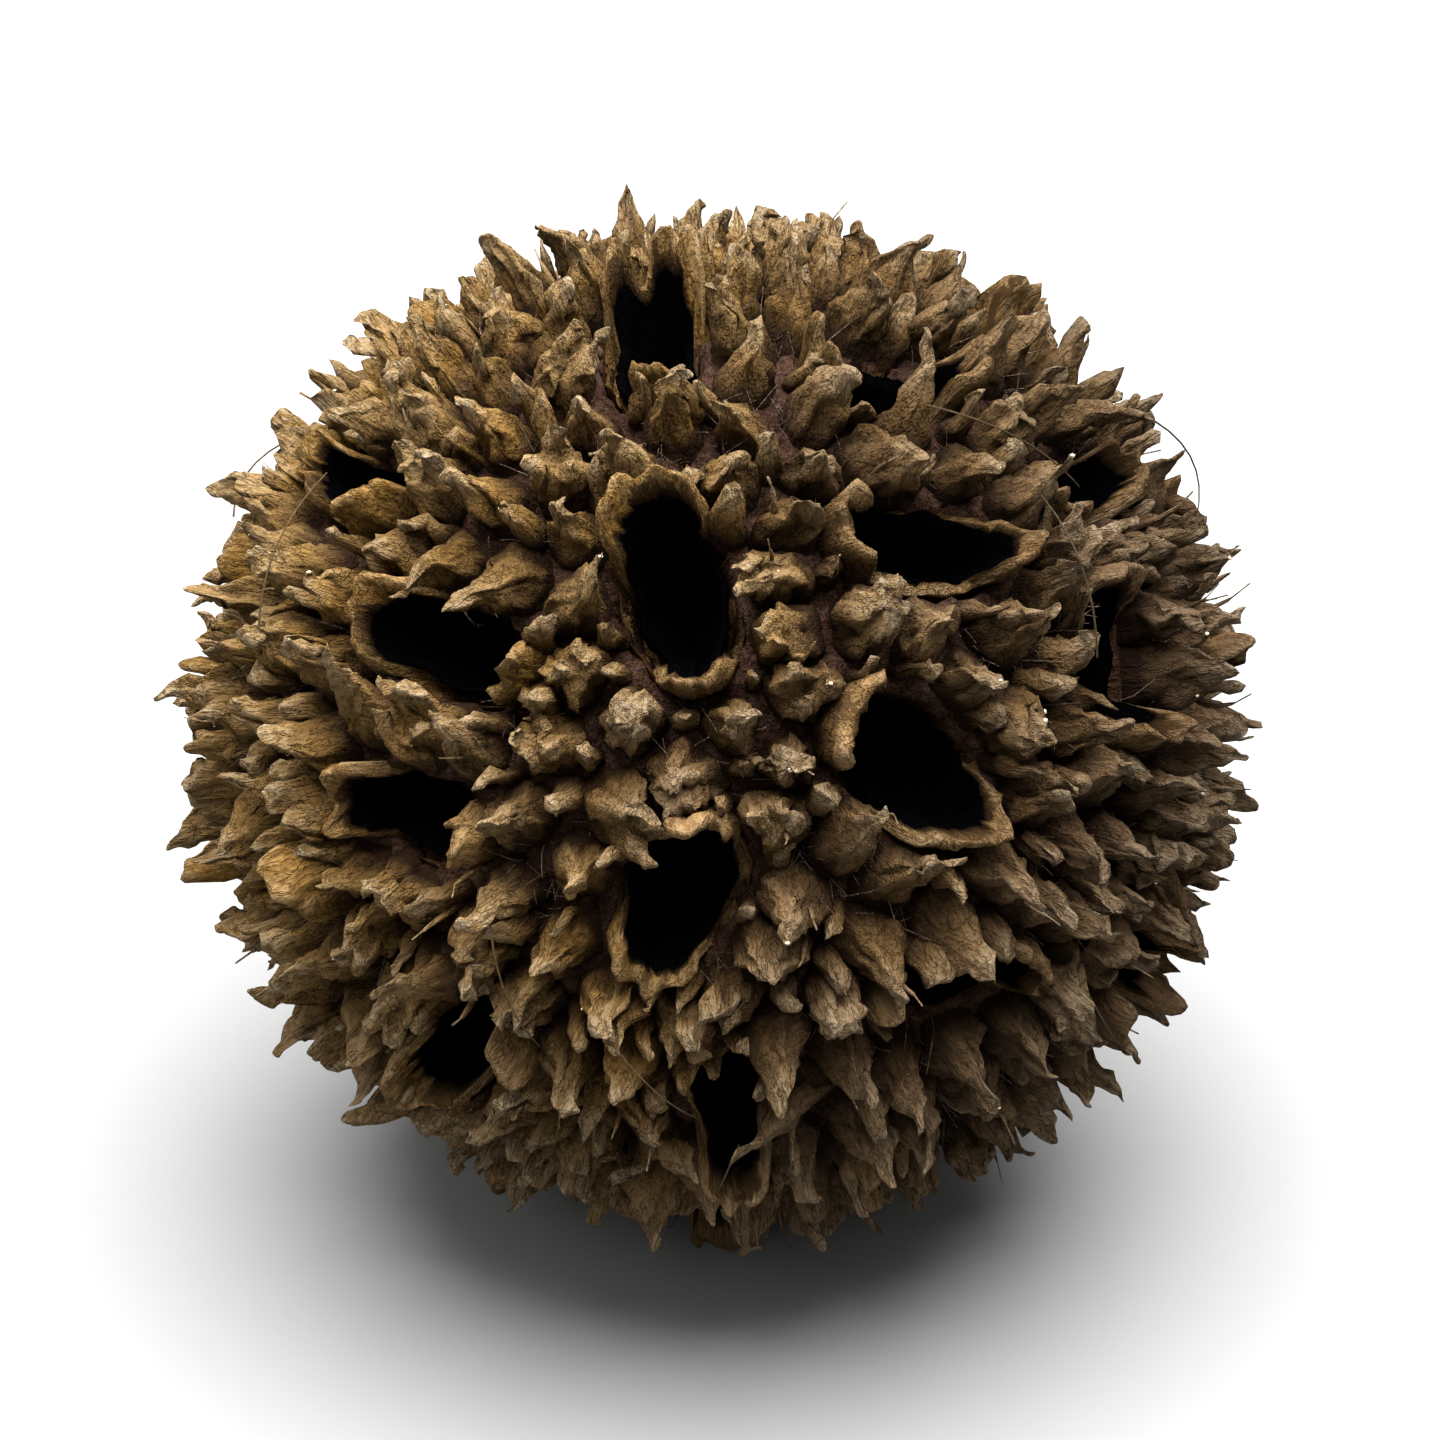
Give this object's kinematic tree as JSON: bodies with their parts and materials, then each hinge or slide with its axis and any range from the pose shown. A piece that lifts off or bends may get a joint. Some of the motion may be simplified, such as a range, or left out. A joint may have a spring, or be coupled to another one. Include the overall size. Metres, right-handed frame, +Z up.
{
  "type": "sweetgum seed ball",
  "caption": "Dried sweetgum seed ball: a woody ball of fused capsules that gape as two-beaked mouths, with blunt pointed scales crowding between them",
  "frame": {"origin": "middle of the flat spot that the ball rests on, straight below the ball's middle", "axes": "+Z up from the flat spot through the ball's middle, -Y the side that the picture shows, +X to the right as seen from that side; the stalk's stub is at the back, toward +Y"},
  "size_m": [0.0318, 0.0314, 0.0299],
  "materials": {
    "weathered_wood": "matte, dry and fibrous, tan at the tips and lips, dark brown in the grooves"
  },
  "bodies": {
    "root": {"seed_ball": "weathered_wood"}
  },
  "joints": []
}
